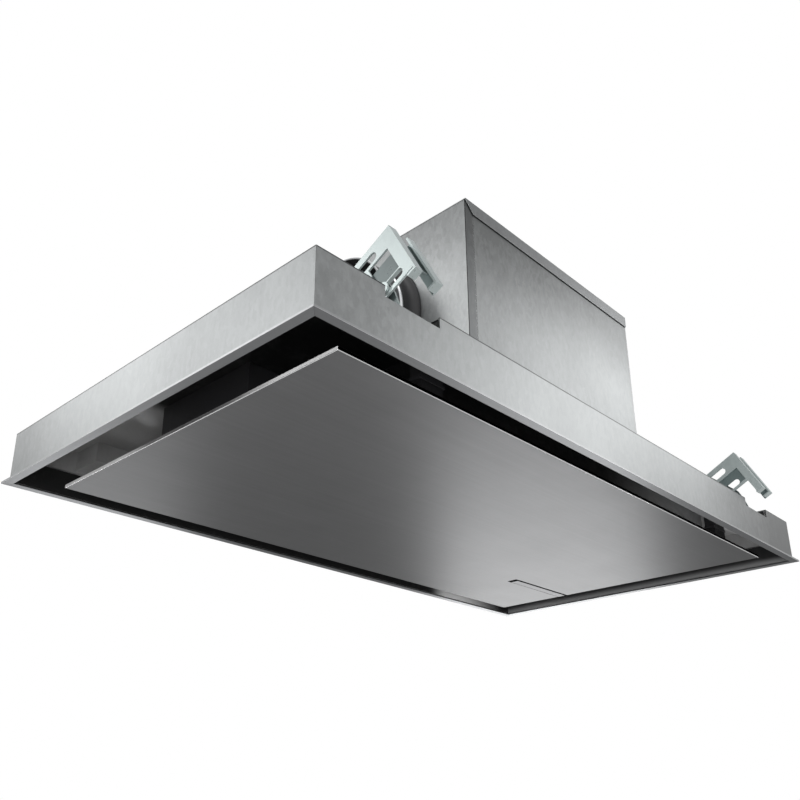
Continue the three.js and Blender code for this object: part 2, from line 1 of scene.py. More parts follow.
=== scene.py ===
# Ceiling range hood: sheet-metal pieces with softened edges, trim, finishes and the studio,
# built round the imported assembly. Metres, +Z up, X along the long side.
import json
import math

import bmesh
import bpy
from mathutils import Matrix, Vector

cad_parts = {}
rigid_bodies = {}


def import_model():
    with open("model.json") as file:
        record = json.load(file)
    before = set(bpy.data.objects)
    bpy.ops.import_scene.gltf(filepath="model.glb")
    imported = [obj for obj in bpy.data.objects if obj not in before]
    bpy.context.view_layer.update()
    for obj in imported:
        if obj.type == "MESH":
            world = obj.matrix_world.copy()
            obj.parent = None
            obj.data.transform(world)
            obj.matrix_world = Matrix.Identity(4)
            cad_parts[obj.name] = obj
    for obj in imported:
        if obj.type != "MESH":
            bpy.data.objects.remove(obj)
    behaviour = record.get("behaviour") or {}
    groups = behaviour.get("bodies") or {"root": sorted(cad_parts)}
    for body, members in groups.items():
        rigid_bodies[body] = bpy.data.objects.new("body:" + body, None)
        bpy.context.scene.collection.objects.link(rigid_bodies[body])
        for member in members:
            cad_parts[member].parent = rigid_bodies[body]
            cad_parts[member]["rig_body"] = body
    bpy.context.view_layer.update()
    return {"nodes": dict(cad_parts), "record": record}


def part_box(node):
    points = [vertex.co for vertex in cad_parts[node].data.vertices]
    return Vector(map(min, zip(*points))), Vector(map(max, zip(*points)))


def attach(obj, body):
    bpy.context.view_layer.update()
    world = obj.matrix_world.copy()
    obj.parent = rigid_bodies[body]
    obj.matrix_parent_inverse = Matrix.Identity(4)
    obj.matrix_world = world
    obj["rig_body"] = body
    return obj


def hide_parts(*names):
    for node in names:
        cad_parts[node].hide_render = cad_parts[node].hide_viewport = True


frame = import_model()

nodes = frame["nodes"]
nodeBody = {name: node["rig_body"] for name, node in nodes.items()}
slotOfNode = {part["node"]: part["material_slot"] for part in frame["record"]["subparts"]}
millimetre = 0.001
white = (1, 1, 1, 1)
# shares of a face's normal along an axis: square on to it, mostly along it, hardly along it
squareOn, mostly, hardly = 0.9, 0.5, 0.1
print("frame loaded:", len(nodes), "nodes")


def metres(form, *keys):
    # the sizes in a piece's dictionary are millimetres
    return [form[key] * millimetre for key in keys]


def addObject(name, data):
    thing = bpy.data.objects.new(name, data)
    bpy.context.scene.collection.objects.link(thing)
    return thing


def direction(heading, rise):
    # a unit vector: its heading in degrees from +X towards +Y, and its rise above level
    heading, rise = math.radians(heading), math.radians(rise)
    return Vector((math.cos(rise) * math.cos(heading), math.cos(rise) * math.sin(heading), math.sin(rise)))


# metres and degrees; the lens is in millimetres, and the shifts are shares of the picture's width
cameraView = {
    "place": (-0.7997, -0.6556, -0.3387), "heading": 43.965, "rise": 20.759,
    "lens": 39.769, "shiftX": 0.02, "shiftY": 0.11, "nearest": 0.01,
}


def makeCamera(view):
    camera = addObject("camera", bpy.data.cameras.new("camera"))
    camera.location = view["place"]
    camera.rotation_mode = "QUATERNION"
    camera.rotation_quaternion = direction(view["heading"], view["rise"]).to_track_quat("-Z", "Y")
    camera.data.lens = view["lens"]
    camera.data.shift_x = view["shiftX"]
    camera.data.shift_y = view["shiftY"]
    camera.data.clip_start = view["nearest"]
    bpy.context.scene.camera = camera


makeCamera(cameraView)
print("camera set")


def setInputs(tree, node, inputs):
    # an input takes a value, or a link from another node's socket
    for key, value in inputs.items():
        if isinstance(value, bpy.types.NodeSocket):
            tree.links.new(value, node.inputs[key])
        else:
            node.inputs[key].default_value = value


def shaderNode(tree, kind, inputs, **settings):
    node = tree.nodes.new(kind)
    for key, value in settings.items():
        setattr(node, key, value)
    setInputs(tree, node, inputs)
    return node.outputs


def mathNode(tree, operation, first, second, clamp=False):
    return shaderNode(tree, "ShaderNodeMath", {0: first, 1: second}, operation=operation, use_clamp=clamp)[0]


def vectorMath(tree, operation, inputs):
    return shaderNode(tree, "ShaderNodeVectorMath", inputs, operation=operation)


def total(tree, first, *others):
    for value in others:
        first = mathNode(tree, "ADD", first, value)
    return first


def mapRange(tree, value, low, high, top=1.0, curve="SMOOTHSTEP"):
    # goes from 0 at low to top at high
    inputs = {0: value, 1: low, 2: high, 3: 0.0, 4: top}
    return shaderNode(tree, "ShaderNodeMapRange", inputs, interpolation_type=curve)[0]


def noise(tree, position, grade, roughness=0.5):
    # grade is the noise's scale and its detail
    scale, detail = grade
    inputs = {"Vector": position, "Scale": scale, "Detail": detail, "Roughness": roughness}
    return shaderNode(tree, "ShaderNodeTexNoise", inputs)


def startGroup(name, inputs, outputs):
    group = bpy.data.node_groups.new(name, "ShaderNodeTree")
    for label, kind in inputs.items():
        group.interface.new_socket(name=label, in_out="INPUT", socket_type=f"NodeSocket{kind}")
    for label in outputs:
        group.interface.new_socket(name=label, in_out="OUTPUT", socket_type="NodeSocketFloat")
    return group, group.nodes.new("NodeGroupInput").outputs, group.nodes.new("NodeGroupOutput")


spangleForm = {
    "warp": (130.0, 2.0), "warpReach": 0.006, "stretch": (1, 1, 0.5), "blur": 0.5,
    "middle": (190.0, 3.0), "fine": (650.0, 2.0), "cloud": (16.0, 4.0),
    "crystalShare": 0.3, "middleShare": 0.4, "fineShare": 0.3,
}


def makeSpangleGroup(form):
    # zinc crystals, taller than wide, with finer grains in them and cloudy patches over them
    group, given, out = startGroup(
        "zincSpangle", {"Position": "Vector", "Crystals": "Float"}, ["Tone", "Patches"],
    )
    position = given["Position"]
    warp = noise(group, position, form["warp"])["Color"]
    bent = vectorMath(group, "SCALE", {0: warp, "Scale": form["warpReach"]})[0]
    moved = vectorMath(group, "ADD", {0: position, 1: bent})[0]
    tall = vectorMath(group, "MULTIPLY", {0: moved, 1: form["stretch"]})[0]
    cells = shaderNode(
        group, "ShaderNodeTexVoronoi",
        {"Vector": tall, "Scale": given["Crystals"], "Smoothness": form["blur"]}, feature="SMOOTH_F1",
    )
    crystal = shaderNode(group, "ShaderNodeSeparateColor", {0: cells["Color"]})[0]
    middle = noise(group, tall, form["middle"])["Fac"]
    fine = noise(group, position, form["fine"])["Fac"]
    tone = total(
        group,
        mathNode(group, "MULTIPLY", middle, form["middleShare"]),
        mathNode(group, "MULTIPLY", fine, form["fineShare"]),
        mathNode(group, "MULTIPLY", crystal, form["crystalShare"]),
    )
    cloud = noise(group, tall, form["cloud"])["Fac"]
    setInputs(group, out, {"Tone": tone, "Patches": cloud})
    return group


grainForm = {"fine": (1.0, 3.0), "broad": (0.17, 1.0)}


def makeGrainGroup(form):
    # fine parallel lines along X of the position it is given: brushing, or rolling streaks
    group, given, out = startGroup(
        "directionalGrain", {"Position": "Vector", "Across": "Float", "Along": "Float"}, ["Tone", "Height"],
    )
    parts = shaderNode(group, "ShaderNodeSeparateXYZ", {0: given["Position"]})
    stretched = shaderNode(group, "ShaderNodeCombineXYZ", {
        axis: mathNode(group, "MULTIPLY", parts[axis], given[scale])
        for axis, scale in (("X", "Along"), ("Y", "Across"), ("Z", "Across"))
    })[0]
    fine = noise(group, stretched, form["fine"])["Fac"]
    broad = noise(group, stretched, form["broad"])["Fac"]
    average = mathNode(group, "MULTIPLY", mathNode(group, "ADD", fine, broad), 0.5)
    setInputs(group, out, {"Tone": average, "Height": fine})
    return group


handlingForm = {
    "smudge": (9.0, 5.0), "smudgeRoughness": 0.55,
    "rub": (130.0, 2.0), "rubFrom": 0.62, "rubTo": 0.75,
}


def makeHandlingGroup(form):
    # soft smudges and a few faint rub marks from fitting
    group, given, out = startGroup("handlingMarks", {"Position": "Vector"}, ["Smudge", "Rub"])
    smudge = noise(group, given["Position"], form["smudge"], form["smudgeRoughness"])["Fac"]
    rub = noise(group, given["Position"], form["rub"])["Fac"]
    rubbed = mapRange(group, rub, form["rubFrom"], form["rubTo"], curve="LINEAR")
    setInputs(group, out, {"Smudge": smudge, "Rub": rubbed})
    return group


spangleGroup = makeSpangleGroup(spangleForm)
grainGroup = makeGrainGroup(grainForm)
handlingGroup = makeHandlingGroup(handlingForm)
print("pattern groups done")

# turns a brushed direction onto the grain group's X
grainTurns = {"X": (0, 0, 0), "Y": (0, 0, math.radians(90)), "Z": (0, math.radians(90), 0)}


def startMaterial(name):
    material = bpy.data.materials.new(name)
    material.use_nodes = True
    tree = material.node_tree
    place = shaderNode(tree, "ShaderNodeTexCoord", {})["Object"]
    return material, tree, tree.nodes["Principled BSDF"], place


def placeGroup(tree, group, inputs):
    return shaderNode(tree, "ShaderNodeGroup", inputs, node_tree=group)


def centred(tree, value, amount):
    # turns 0 to 1 into -amount to amount
    return mathNode(tree, "MULTIPLY", mathNode(tree, "SUBTRACT", value, 0.5), 2 * amount)


def finishShader(tree, shader, look, tone, rough, height):
    dark = [channel * (1 - look["spread"]) for channel in look["colour"]]
    light = [min(1.0, channel * (1 + look["spread"])) for channel in look["colour"]]
    # a colour mix takes its two colours at inputs 6 and 7 and gives the result at output 2
    factor = mathNode(tree, "ADD", tone, 0.5, clamp=True)
    mix = shaderNode(tree, "ShaderNodeMix", {0: factor, 6: (*dark, 1), 7: (*light, 1)}, data_type="RGBA")
    bump = shaderNode(
        tree, "ShaderNodeBump", {"Height": height, "Strength": look["bump"], "Distance": look["bumpDepth"]},
    )
    setInputs(tree, shader, {
        "Base Color": mix[2],
        "Roughness": mathNode(tree, "ADD", rough, look["roughness"], clamp=True),
        "Metallic": look["metallic"],
        "Normal": bump[0],
    })
    if "edgeTint" in look:
        setInputs(tree, shader, {"Specular Tint": (*[look["edgeTint"]] * 3, 1)})


def sheetMaterial(name, look):
    # rolled or plated sheet: crystals, streaks along one direction, smudges, and painted shade and painted
    # highlights as a level and slow changes of tone
    material, tree, shader, place = startMaterial(name)
    turned = shaderNode(tree, "ShaderNodeMapping", {0: place, "Rotation": grainTurns[look["grain"]]})[0]
    spangle = placeGroup(tree, spangleGroup, {"Position": place, "Crystals": look["crystals"]})
    grain = placeGroup(tree, grainGroup, {
        "Position": turned, "Across": look["across"], "Along": look["along"],
    })
    marks = placeGroup(tree, handlingGroup, {"Position": place})
    parts = shaderNode(tree, "ShaderNodeSeparateXYZ", {0: place})
    ramps = [
        mapRange(tree, parts[axis], low, high, change)
        for axis, low, high, change in look.get("shading", [])
    ]
    tone = total(
        tree,
        centred(tree, spangle["Tone"], look["spangle"]),
        centred(tree, grain["Tone"], look["streaks"]),
        centred(tree, spangle["Patches"], look["patches"]),
        look.get("level", 0.0),
        *ramps,
    )
    rough = total(
        tree,
        centred(tree, marks["Smudge"], look["smudges"]),
        centred(tree, spangle["Tone"], look["smudges"]),
        mathNode(tree, "MULTIPLY", marks["Rub"], look["smudges"] * look["rubbed"]),
    )
    height = total(
        tree,
        mathNode(tree, "MULTIPLY", spangle["Tone"], look["spangleHeight"]),
        mathNode(tree, "MULTIPLY", grain["Height"], look["grainHeight"]),
    )
    finishShader(tree, shader, look, tone, rough, height)
    return material


def coatMaterial(name, look):
    # paint, plastic, rubber or foam: fine moulded or sprayed texture with smudges
    material, tree, shader, place = startMaterial(name)
    texture = noise(tree, place, look["texture"])["Fac"]
    marks = placeGroup(tree, handlingGroup, {"Position": place})
    tone = total(
        tree, centred(tree, texture, look["textureTone"]), centred(tree, marks["Smudge"], look["smudgeTone"]),
    )
    rough = total(
        tree,
        centred(tree, marks["Smudge"], look["smudges"]),
        mathNode(tree, "MULTIPLY", marks["Rub"], -look["smudges"] * look["rubbed"]),
    )
    finishShader(tree, shader, look, tone, rough, texture)
    return material


galvanisedLook = {
    "colour": (0.222, 0.230, 0.231), "spread": 0.6, "metallic": 1.0, "roughness": 0.40,
    "grain": "Z", "across": 60.0, "along": 3.0, "crystals": 260.0,
    "spangle": 0.19, "streaks": 0.05, "patches": 0.07, "smudges": 0.04, "rubbed": 0.4,
    "bump": 0.16, "bumpDepth": 0.0004, "spangleHeight": 1.0, "grainHeight": 0.15,
}
brushedLook = {
    "spread": 0.22, "metallic": 1.0, "across": 1700.0, "along": 14.0, "crystals": 300.0,
    "spangle": 0.04, "streaks": 0.30, "patches": 0.12, "smudges": 0.02, "rubbed": 0.0,
    "bump": 0.08, "bumpDepth": 0.0002, "spangleHeight": 0.0, "grainHeight": 1.0,
}
zincLook = {
    "spread": 0.3, "metallic": 0.35, "roughness": 0.30,
    "grain": "Z", "across": 200.0, "along": 12.0, "crystals": 240.0,
    "spangle": 0.15, "streaks": 0.1, "patches": 0.25, "smudges": 0.05, "rubbed": 0.4,
    "bump": 0.06, "bumpDepth": 0.0003, "spangleHeight": 0.8, "grainHeight": 0.3,
}
coatLook = {
    "spread": 0.25, "metallic": 0.0, "detail": 3.0, "textureTone": 0.3, "smudgeTone": 0.4,
    "bump": 0.15, "bumpDepth": 0.0003, "smudges": 0.06, "rubbed": 0.5,
}


def galvanisedSheet(name, grain, shading=(), **changes):
    return sheetMaterial(name, dict(galvanisedLook, grain=grain, shading=shading, **changes))


def brushedSteel(name, colour, grain, roughness, **changes):
    settings = {"colour": colour, "grain": grain, "roughness": roughness}
    return sheetMaterial(name, {**brushedLook, **settings, **changes})


def zincPlate(name, colour):
    return sheetMaterial(name, dict(zincLook, colour=colour))


def coat(name, colour, roughness, scale, **changes):
    settings = {"colour": colour, "roughness": roughness, "texture": (scale, coatLook["detail"])}
    return coatMaterial(name, {**coatLook, **settings, **changes})


# painted shade and painted highlights as slow changes of tone: axis, from, to, change
boxPaintedShade = [("Z", 0.16, 0.31, -0.40), ("X", 0.16, -0.17, -0.15)]
frontPaintedShade = [("X", -0.26, -0.44, -0.12), ("X", 0.12, 0.46, -0.56)]
sidePaintedLight = [("Y", 0.10, 0.24, -0.12), ("Y", 0.02, -0.07, -0.14), ("Y", -0.17, -0.23, 0.06)]
sideBoxPaintedShade = [("Z", 0.20, 0.30, -0.25)]
innerPaintedLight = [("Y", 0.06, 0.085, 0.5), ("Y", 0.12, 0.24, -0.15), ("X", 0.02, 0.26, 0.5)]
framePaintedLight = [("X", 0.02, 0.25, 0.9)]
linerPaintedLight = [("Z", 0.013, 0.003, 0.9)]
rearLinerPaintedHighlight = [("X", 0.235, 0.275, 0.9), ("X", 0.30, 0.43, -0.9)]
flangePaintedHighlight = [("Y", 0.0, 0.18, 0.35), ("Y", -0.05, -0.2, 0.25)]
panelSidePaintedGlint = [("Y", -0.07, -0.16, 0.8), ("Y", 0.04, 0.10, 0.6)]
panelSteel, flangeSteel = (0.17, 0.171, 0.173), (0.19, 0.193, 0.197)
insideSheet = {"metallic": 0.3, "roughness": 0.34, "spangle": 0.04, "patches": 0.03}
linerSheet = {"metallic": 0.3, "roughness": 0.3, "spangle": 0.03, "patches": 0.02}
# sheets give the grain's direction, brushed steel then its roughness, and coats roughness and texture scale
finishes = {
    # the walls, the box and the short flanges carry painted shade and painted highlights through their ramps
    "wallFront": galvanisedSheet("galvanisedFront", "Z", frontPaintedShade),
    "wallSide": galvanisedSheet("galvanisedSide", "Z", sidePaintedLight),
    # a darker copy of the sheet as a painted shade line along the walls' tops
    "topEdgeShade": galvanisedSheet("galvanisedTopEdgeShade", "X", colour=(0.04, 0.041, 0.042)),
    "box": galvanisedSheet("galvanisedBox", "Z", boxPaintedShade),
    # the box's left face as a lighter copy of the sheet, and its fold as a darker copy: painted light and
    # painted shade
    "boxSide": galvanisedSheet("galvanisedBoxSide", "Z", sideBoxPaintedShade, colour=(0.29, 0.299, 0.30)),
    "boxFold": galvanisedSheet("galvanisedFoldShade", "Z", boxPaintedShade, colour=(0.14, 0.145, 0.147)),
    "lid": galvanisedSheet("galvanisedLid", "X"),
    # the lid's skirt as a darker copy of the sheet: painted shade
    "lidSkirtShade": galvanisedSheet("galvanisedSkirtShade", "X", colour=(0.12, 0.124, 0.126)),
    "roof": galvanisedSheet("galvanisedRoof", "X", colour=(0.31, 0.318, 0.32)),
    # inside the tray: painted shade as a dark level, with painted light towards the rear and towards +X
    "inner": galvanisedSheet(
        "galvanisedInnerPaintedLight", "X", innerPaintedLight, colour=(0.55, 0.557, 0.565), spread=0.97, level=-0.5,
        **insideSheet,
    ),
    # the filter frame's face: painted shade as a dark level, with painted light towards +X
    "frameFace": galvanisedSheet(
        "filterFramePaintedLight", "X", framePaintedLight, colour=(0.28, 0.284, 0.288), spread=0.95, level=-0.5,
        **insideSheet,
    ),
    # the liners' dark sheets as painted shade, with painted light low down on the right one and a painted
    # highlight patch on the rear one
    "linerRight": galvanisedSheet(
        "darkLinerRightPaintedShade", "Y", linerPaintedLight, colour=(0.14, 0.141, 0.143), spread=0.95, level=-0.4, **linerSheet,
    ),
    "linerRear": galvanisedSheet(
        "darkLinerRearPaintedHighlight", "X", rearLinerPaintedHighlight, colour=(0.75, 0.76, 0.77), spread=0.98, level=-0.5, **linerSheet,
    ),
    # a dark finish for painted shade lines in folds, grooves and gaps
    "seam": brushedSteel("darkShadeLine", (0.02, 0.02, 0.021), "Z", 0.5, edgeTint=0.05),
    "flangeLong": brushedSteel("flangeBrushedLong", flangeSteel, "X", 0.32, edgeTint=0.4),
    "flangeShort": brushedSteel(
        "flangeBrushedShort", flangeSteel, "Y", 0.32, edgeTint=0.4, shading=flangePaintedHighlight,
    ),
    "flangeSide": brushedSteel("flangeSide", (0.22, 0.224, 0.228), "X", 0.35),
    # a bright finish for painted highlight lines along edges
    "edgeHighlight": brushedSteel("edgeHighlight", (0.62, 0.625, 0.63), "X", 0.25),
    "panel": brushedSteel("panelBrushed", panelSteel, "X", 0.36, edgeTint=0.35),
    # the panel's bevelled rim as a painted highlight
    "panelEdge": brushedSteel("panelEdgePaintedHighlight", (0.90, 0.91, 0.92), "X", 0.18),
    # the panel's side faces as a darker copy: painted shade
    "panelSide": brushedSteel("panelSide", (0.03, 0.03, 0.031), "X", 0.2),
    # the panel's left side as a painted glint, brighter towards both ends
    "panelSideLeft": brushedSteel(
        "panelSideLeft", (0.6, 0.6, 0.605), "Y", 0.2, metallic=0.0, spread=0.9, level=-0.4,
        shading=panelSidePaintedGlint,
    ),
    "strip": brushedSteel("stripBrushed", (0.145, 0.146, 0.148), "X", 0.33, edgeTint=0.35),
    "zinc": zincPlate("zincPlate", (0.43, 0.485, 0.48)),
    # darker copies of the zinc as painted shade on the clamps' recessed and inner faces
    "zincShade": zincPlate("zincPlateShaded", (0.17, 0.215, 0.215)),
    "zincDeepShade": zincPlate("zincPlateDeepShade", (0.08, 0.102, 0.102)),
    # also the spigot's bead and rim lip, where it is a painted highlight
    "plated": brushedSteel("platedSteelAndHighlight", (0.62, 0.63, 0.64), "Z", 0.2),
    "rivet": brushedSteel("rivetSteel", (0.30, 0.305, 0.31), "Z", 0.3),
    "spigotOutside": brushedSteel("spigotOutside", (0.20, 0.205, 0.21), "Z", 0.3),
    "motor": coat("motorCasting", (0.25, 0.26, 0.27), 0.45, 700.0, bump=0.3, metallic=0.8),
    "mesh": brushedSteel("filterAluminium", (0.55, 0.56, 0.57), "Y", 0.34, metallic=0.7),
    # a darker copy of the filter aluminium as painted shade behind the mesh
    "meshShade": brushedSteel("filterAluminiumShade", (0.16, 0.163, 0.167), "Y", 0.4, metallic=0.7),
    "blackPaint": coat("blackPaint", (0.011, 0.011, 0.012), 0.46, 1300.0),
    "blackPlastic": coat("blackPlastic", (0.022, 0.022, 0.024), 0.5, 1600.0),
    "foam": coat("blackFoam", (0.008, 0.008, 0.009), 0.95, 700.0, bump=0.6),
    "rubber": coat("blackRubber", (0.02, 0.02, 0.02), 0.7, 1100.0),
    "board": coat("boardLacquer", (0.05, 0.16, 0.08), 0.4, 500.0),
    "ductDark": coat("ductDark", (0.004, 0.004, 0.005), 0.8, 500.0),
}
slotFinish = {
    "galvanised_sheet": "box", "flange_steel": "flangeLong", "panel_steel": "panel",
    "zinc_plate": "zinc", "black_paint": "blackPaint", "black_plastic": "blackPlastic",
    "filter_mesh": "mesh", "circuit_board": "board", "rubber_seal": "rubber",
    "motor_casing": "motor", "plated_steel": "plated",
}
print("finishes ready:", len(finishes))


# millimetres, degrees for the two angles, and "rounding" is the segments across a softened edge
meshForm = {"weld": 0.002, "cut": 0.001, "flatAngle": 0.2, "creaseAngle": 32.0, "rounding": 2}


def toPiece(bm, name, body, materials, replaced=()):
    mesh = bpy.data.meshes.new(name)
    bm.to_mesh(mesh)
    bm.free()
    for material in materials:
        mesh.materials.append(finishes[material])
    mesh.shade_smooth()
    mesh.set_sharp_from_angle(angle=math.radians(meshForm["creaseAngle"]))
    piece = addObject(name, mesh)
    weighted = piece.modifiers.new("weightedNormals", "WEIGHTED_NORMAL")
    weighted.keep_sharp = True
    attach(piece, body)
    if replaced:
        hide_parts(*replaced)


def replaceNode(bm, node, materials):
    # the piece has the node's name in camel case
    first, *rest = node.split("_")
    name = first + "".join(word.capitalize() for word in rest)
    toPiece(bm, name, nodeBody[node], materials, [node])


def bevelEdges(bm, edges, width, segments):
    bmesh.ops.bevel(
        bm, geom=edges, offset=width, offset_type="OFFSET", segments=segments, profile=0.5,
        affect="EDGES", clamp_overlap=True, material=-1,
    )


def softenEdges(bm, width, keep=None):
    crease = math.radians(meshForm["creaseAngle"])
    sharp = [e for e in bm.edges if e.is_manifold and e.calc_face_angle() > crease and not (keep and keep(e))]
    bevelEdges(bm, sharp, width, meshForm["rounding"])


def cutMesh(bm, point, normal, **settings):
    everything = bm.verts[:] + bm.edges[:] + bm.faces[:]
    bmesh.ops.bisect_plane(bm, geom=everything, plane_co=point, plane_no=normal, **settings)


def paintFaces(bm, index, test):
    bm.normal_update()
    for face in bm.faces:
        if test(face.calc_center_median(), face.normal):
            face.material_index = index


def upright(edge):
    a, b = (vert.co for vert in edge.verts)
    return abs(a.z - b.z) > squareOn * edge.calc_length()


def dressNode(node, materials, edge, paint=(), keep=None, cuts=()):
    # the node's own shape with its edges rounded by so many millimetres; paint gives other materials
    # to some of its faces, and each cut is a point and a normal that part the faces for it
    bm = bmesh.new()
    bm.from_mesh(nodes[node].data)
    bmesh.ops.remove_doubles(bm, verts=bm.verts, dist=meshForm["weld"] * millimetre)
    flat = math.radians(meshForm["flatAngle"])
    bmesh.ops.dissolve_limit(bm, angle_limit=flat, verts=bm.verts, edges=bm.edges)
    for point, normal in cuts:
        cutMesh(bm, point, normal, dist=meshForm["cut"] * millimetre)
    if edge:
        softenEdges(bm, edge * millimetre, keep)
    for face in bm.faces:
        face.material_index = 0
    for index, test in enumerate(paint, start=1):
        paintFaces(bm, index, test)
    replaceNode(bm, node, materials)


def boxMesh(low, high):
    bm = bmesh.new()
    bmesh.ops.create_cube(bm, size=1.0)
    size = Vector(high) - Vector(low)
    bmesh.ops.scale(bm, vec=size, verts=bm.verts)
    bmesh.ops.translate(bm, vec=(Vector(high) + Vector(low)) / 2, verts=bm.verts)
    return bm


def spunMesh(profile, centreY, centreZ, steps):
    # a closed profile of (radius, X) turned all the way round a line along X
    bm = bmesh.new()
    verts = [bm.verts.new((x, centreY, centreZ + radius)) for radius, x in profile]
    edges = [bm.edges.new((verts[i - 1], verts[i])) for i in range(len(verts))]
    bmesh.ops.spin(
        bm, geom=verts + edges, cent=(0, centreY, centreZ), axis=(1, 0, 0), dvec=(0, 0, 0),
        angle=2 * math.pi, steps=steps, use_merge=True, use_duplicate=False,
    )
    bmesh.ops.remove_doubles(bm, verts=bm.verts, dist=meshForm["cut"] * millimetre)
    bmesh.ops.recalc_face_normals(bm, faces=bm.faces)
    return bm


trayLow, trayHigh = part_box("tray_wall_left")
halfTrayX = -trayLow.x
halfTrayY = -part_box("tray_wall_front")[0].y
wallSheet = trayHigh.x - trayLow.x
# "level" is the share of a normal along Z from which a face counts as level, and "innerShare" a share
# of the wall's sheet
trayForm = {
    "flangeEdge": 0.8, "wallEdge": 0.3, "roofEdge": 0.2, "topStrip": 1.3, "level": 0.99,
    "outerMargin": 0.05, "innerTop": 0.2, "innerShare": 0.6,
}


def makeTray(form):
    flangeX, flangeY = -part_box("flange_front")[0].xy
    flangeEdge, outerMargin = metres(form, "flangeEdge", "outerMargin")
    stripLevel, innerTop = (trayHigh.z - drop for drop in metres(form, "topStrip", "innerTop"))
    reach = form["innerShare"] * wallSheet

    def outermost(centre, margin):
        return abs(centre.x) > flangeX - margin or abs(centre.y) > flangeY - margin

    def outerSide(centre, normal):
        return outermost(centre, outerMargin) and abs(normal.z) < hardly

    def lowerEdge(centre, normal):
        return outermost(centre, flangeEdge) and -form["level"] < normal.z < -hardly

    def insideTray(centre, normal):
        return abs(centre.x) < halfTrayX - reach and abs(centre.y) < halfTrayY - reach and centre.z < innerTop

    def topStrip(centre, normal):
        return centre.z > stripLevel and normal.z < form["level"]

    def underside(centre, normal):
        return normal.z < -mostly

    sides = {
        "front": ("flangeLong", "wallFront"), "rear": ("flangeLong", "wallFront"),
        "left": ("flangeShort", "wallSide"), "right": ("flangeShort", "wallSide"),
    }
    for side, (flangeFinish, wallFinish) in sides.items():
        # the flange's outer side takes its own finish and its lower outer edge a painted highlight line
        flangeFinishes = [flangeFinish, "flangeSide", "edgeHighlight"]
        dressNode(f"flange_{side}", flangeFinishes, form["flangeEdge"], [outerSide, lowerEdge])
        # the walls take painted shade and painted light inside the tray, and a painted shade line along their
        # tops
        dressNode(
            f"tray_wall_{side}", [wallFinish, "inner", "topEdgeShade"], form["wallEdge"], [insideTray, topStrip],
            keep=upright, cuts=[((0, 0, stripLevel), (0, 0, 1))],
        )
    # the roof's underside takes the inside finish with its painted shade and painted light
    dressNode("tray_roof", ["roof", "inner"], form["roofEdge"], [underside])


makeTray(trayForm)
print("tray done")


boxForm = {"foldedEdge": 0.5, "edge": 0.35, "foldFrom": 2.0, "rim": 0.6, "skirtTop": 0.5}


def makeBlowerBox(form):
    foldFrom, rim, skirtTop = metres(form, "foldFrom", "rim", "skirtTop")
    boxLow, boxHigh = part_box("blower_box_left")
    lidLow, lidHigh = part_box("blower_box_lid")

    def foldStrip(centre, normal):
        return abs(normal.y) > squareOn and centre.x > boxLow.x + foldFrom

    def boxCorner(centre, normal):
        # the rounded fold between the left face and the narrow strip in front
        return abs(normal.x) > hardly and abs(normal.y) > hardly

    def foldRim(centre, normal):
        return centre.x > boxHigh.x - rim and abs(normal.y) > hardly

    def skirt(centre, normal):
        return abs(normal.y) > mostly and centre.z < lidHigh.z - skirtTop

    def skirtRim(centre, normal):
        return centre.z < lidLow.z + rim

    # the left face takes a lighter copy of the sheet, its fold strip and rounded corner painted shade, and
    # the fold's rim a painted highlight line
    leftFinishes = ["boxSide", "boxFold", "seam", "edgeHighlight"]
    dressNode("blower_box_left", leftFinishes, form["foldedEdge"], [foldStrip, boxCorner, foldRim])
    for side in ("right", "front", "rear"):
        dressNode(f"blower_box_{side}", ["box"], form["edge"])
    # the lid's skirt takes a darker copy of the sheet as painted shade, and its lower rim the flange's side
    # finish
    dressNode("blower_box_lid", ["lid", "lidSkirtShade", "flangeSide"], form["edge"], [skirt, skirtRim])


makeBlowerBox(boxForm)
print("blower box done")


# "lipFrom" and "lipTo" are shares of the rim's roll
outletForm = {
    "wall": 1.2, "beadAt": 22.0, "beadHeight": 1.4, "beadHalf": 3.0, "beadSteps": 8, "steps": 160,
    "rimRoll": 2.0, "rimLip": 0.8, "lipFrom": 0.6, "lipTo": 0.2, "insideMargin": 0.3, "outsideMargin": 0.2,
    "collarGap": 0.3, "collarEdge": 1.5, "collarFlare": 5.0, "flareSteps": 8,
}


def makeSpigot(form, radius, centreY, centreZ):
    low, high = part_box("outlet_spigot")
    wall, bead, half, roll, lip = metres(form, "wall", "beadHeight", "beadHalf", "rimRoll", "rimLip")
    inner = radius - wall
    beadAt = high.x - form["beadAt"] * millimetre
    profile = [(inner, high.x), (radius, high.x)]
    for i in range(form["beadSteps"] + 1):
        # the pressed bead as half a wave
        share = i / form["beadSteps"]
        profile.append((radius + bead * math.sin(math.pi * share), beadAt + half - 2 * half * share))
    profile += [(radius, low.x + roll), (radius + lip, low.x + form["lipFrom"] * roll)]
    profile += [(radius + lip, low.x + form["lipTo"] * roll), (radius, low.x), (inner, low.x)]
    bm = spunMesh(profile, centreY, centreZ, form["steps"])
    insideMargin, outsideMargin = metres(form, "insideMargin", "outsideMargin")

    def fromAxis(centre):
        return math.hypot(centre.y - centreY, centre.z - centreZ)

    paintFaces(bm, 1, lambda centre, normal: fromAxis(centre) < inner + insideMargin)
    # the bead and the rim's lip take the bright plated steel as a painted highlight
    paintFaces(bm, 2, lambda centre, normal: fromAxis(centre) > radius + outsideMargin)
    replaceNode(bm, "outlet_spigot", ["spigotOutside", "ductDark", "plated"])


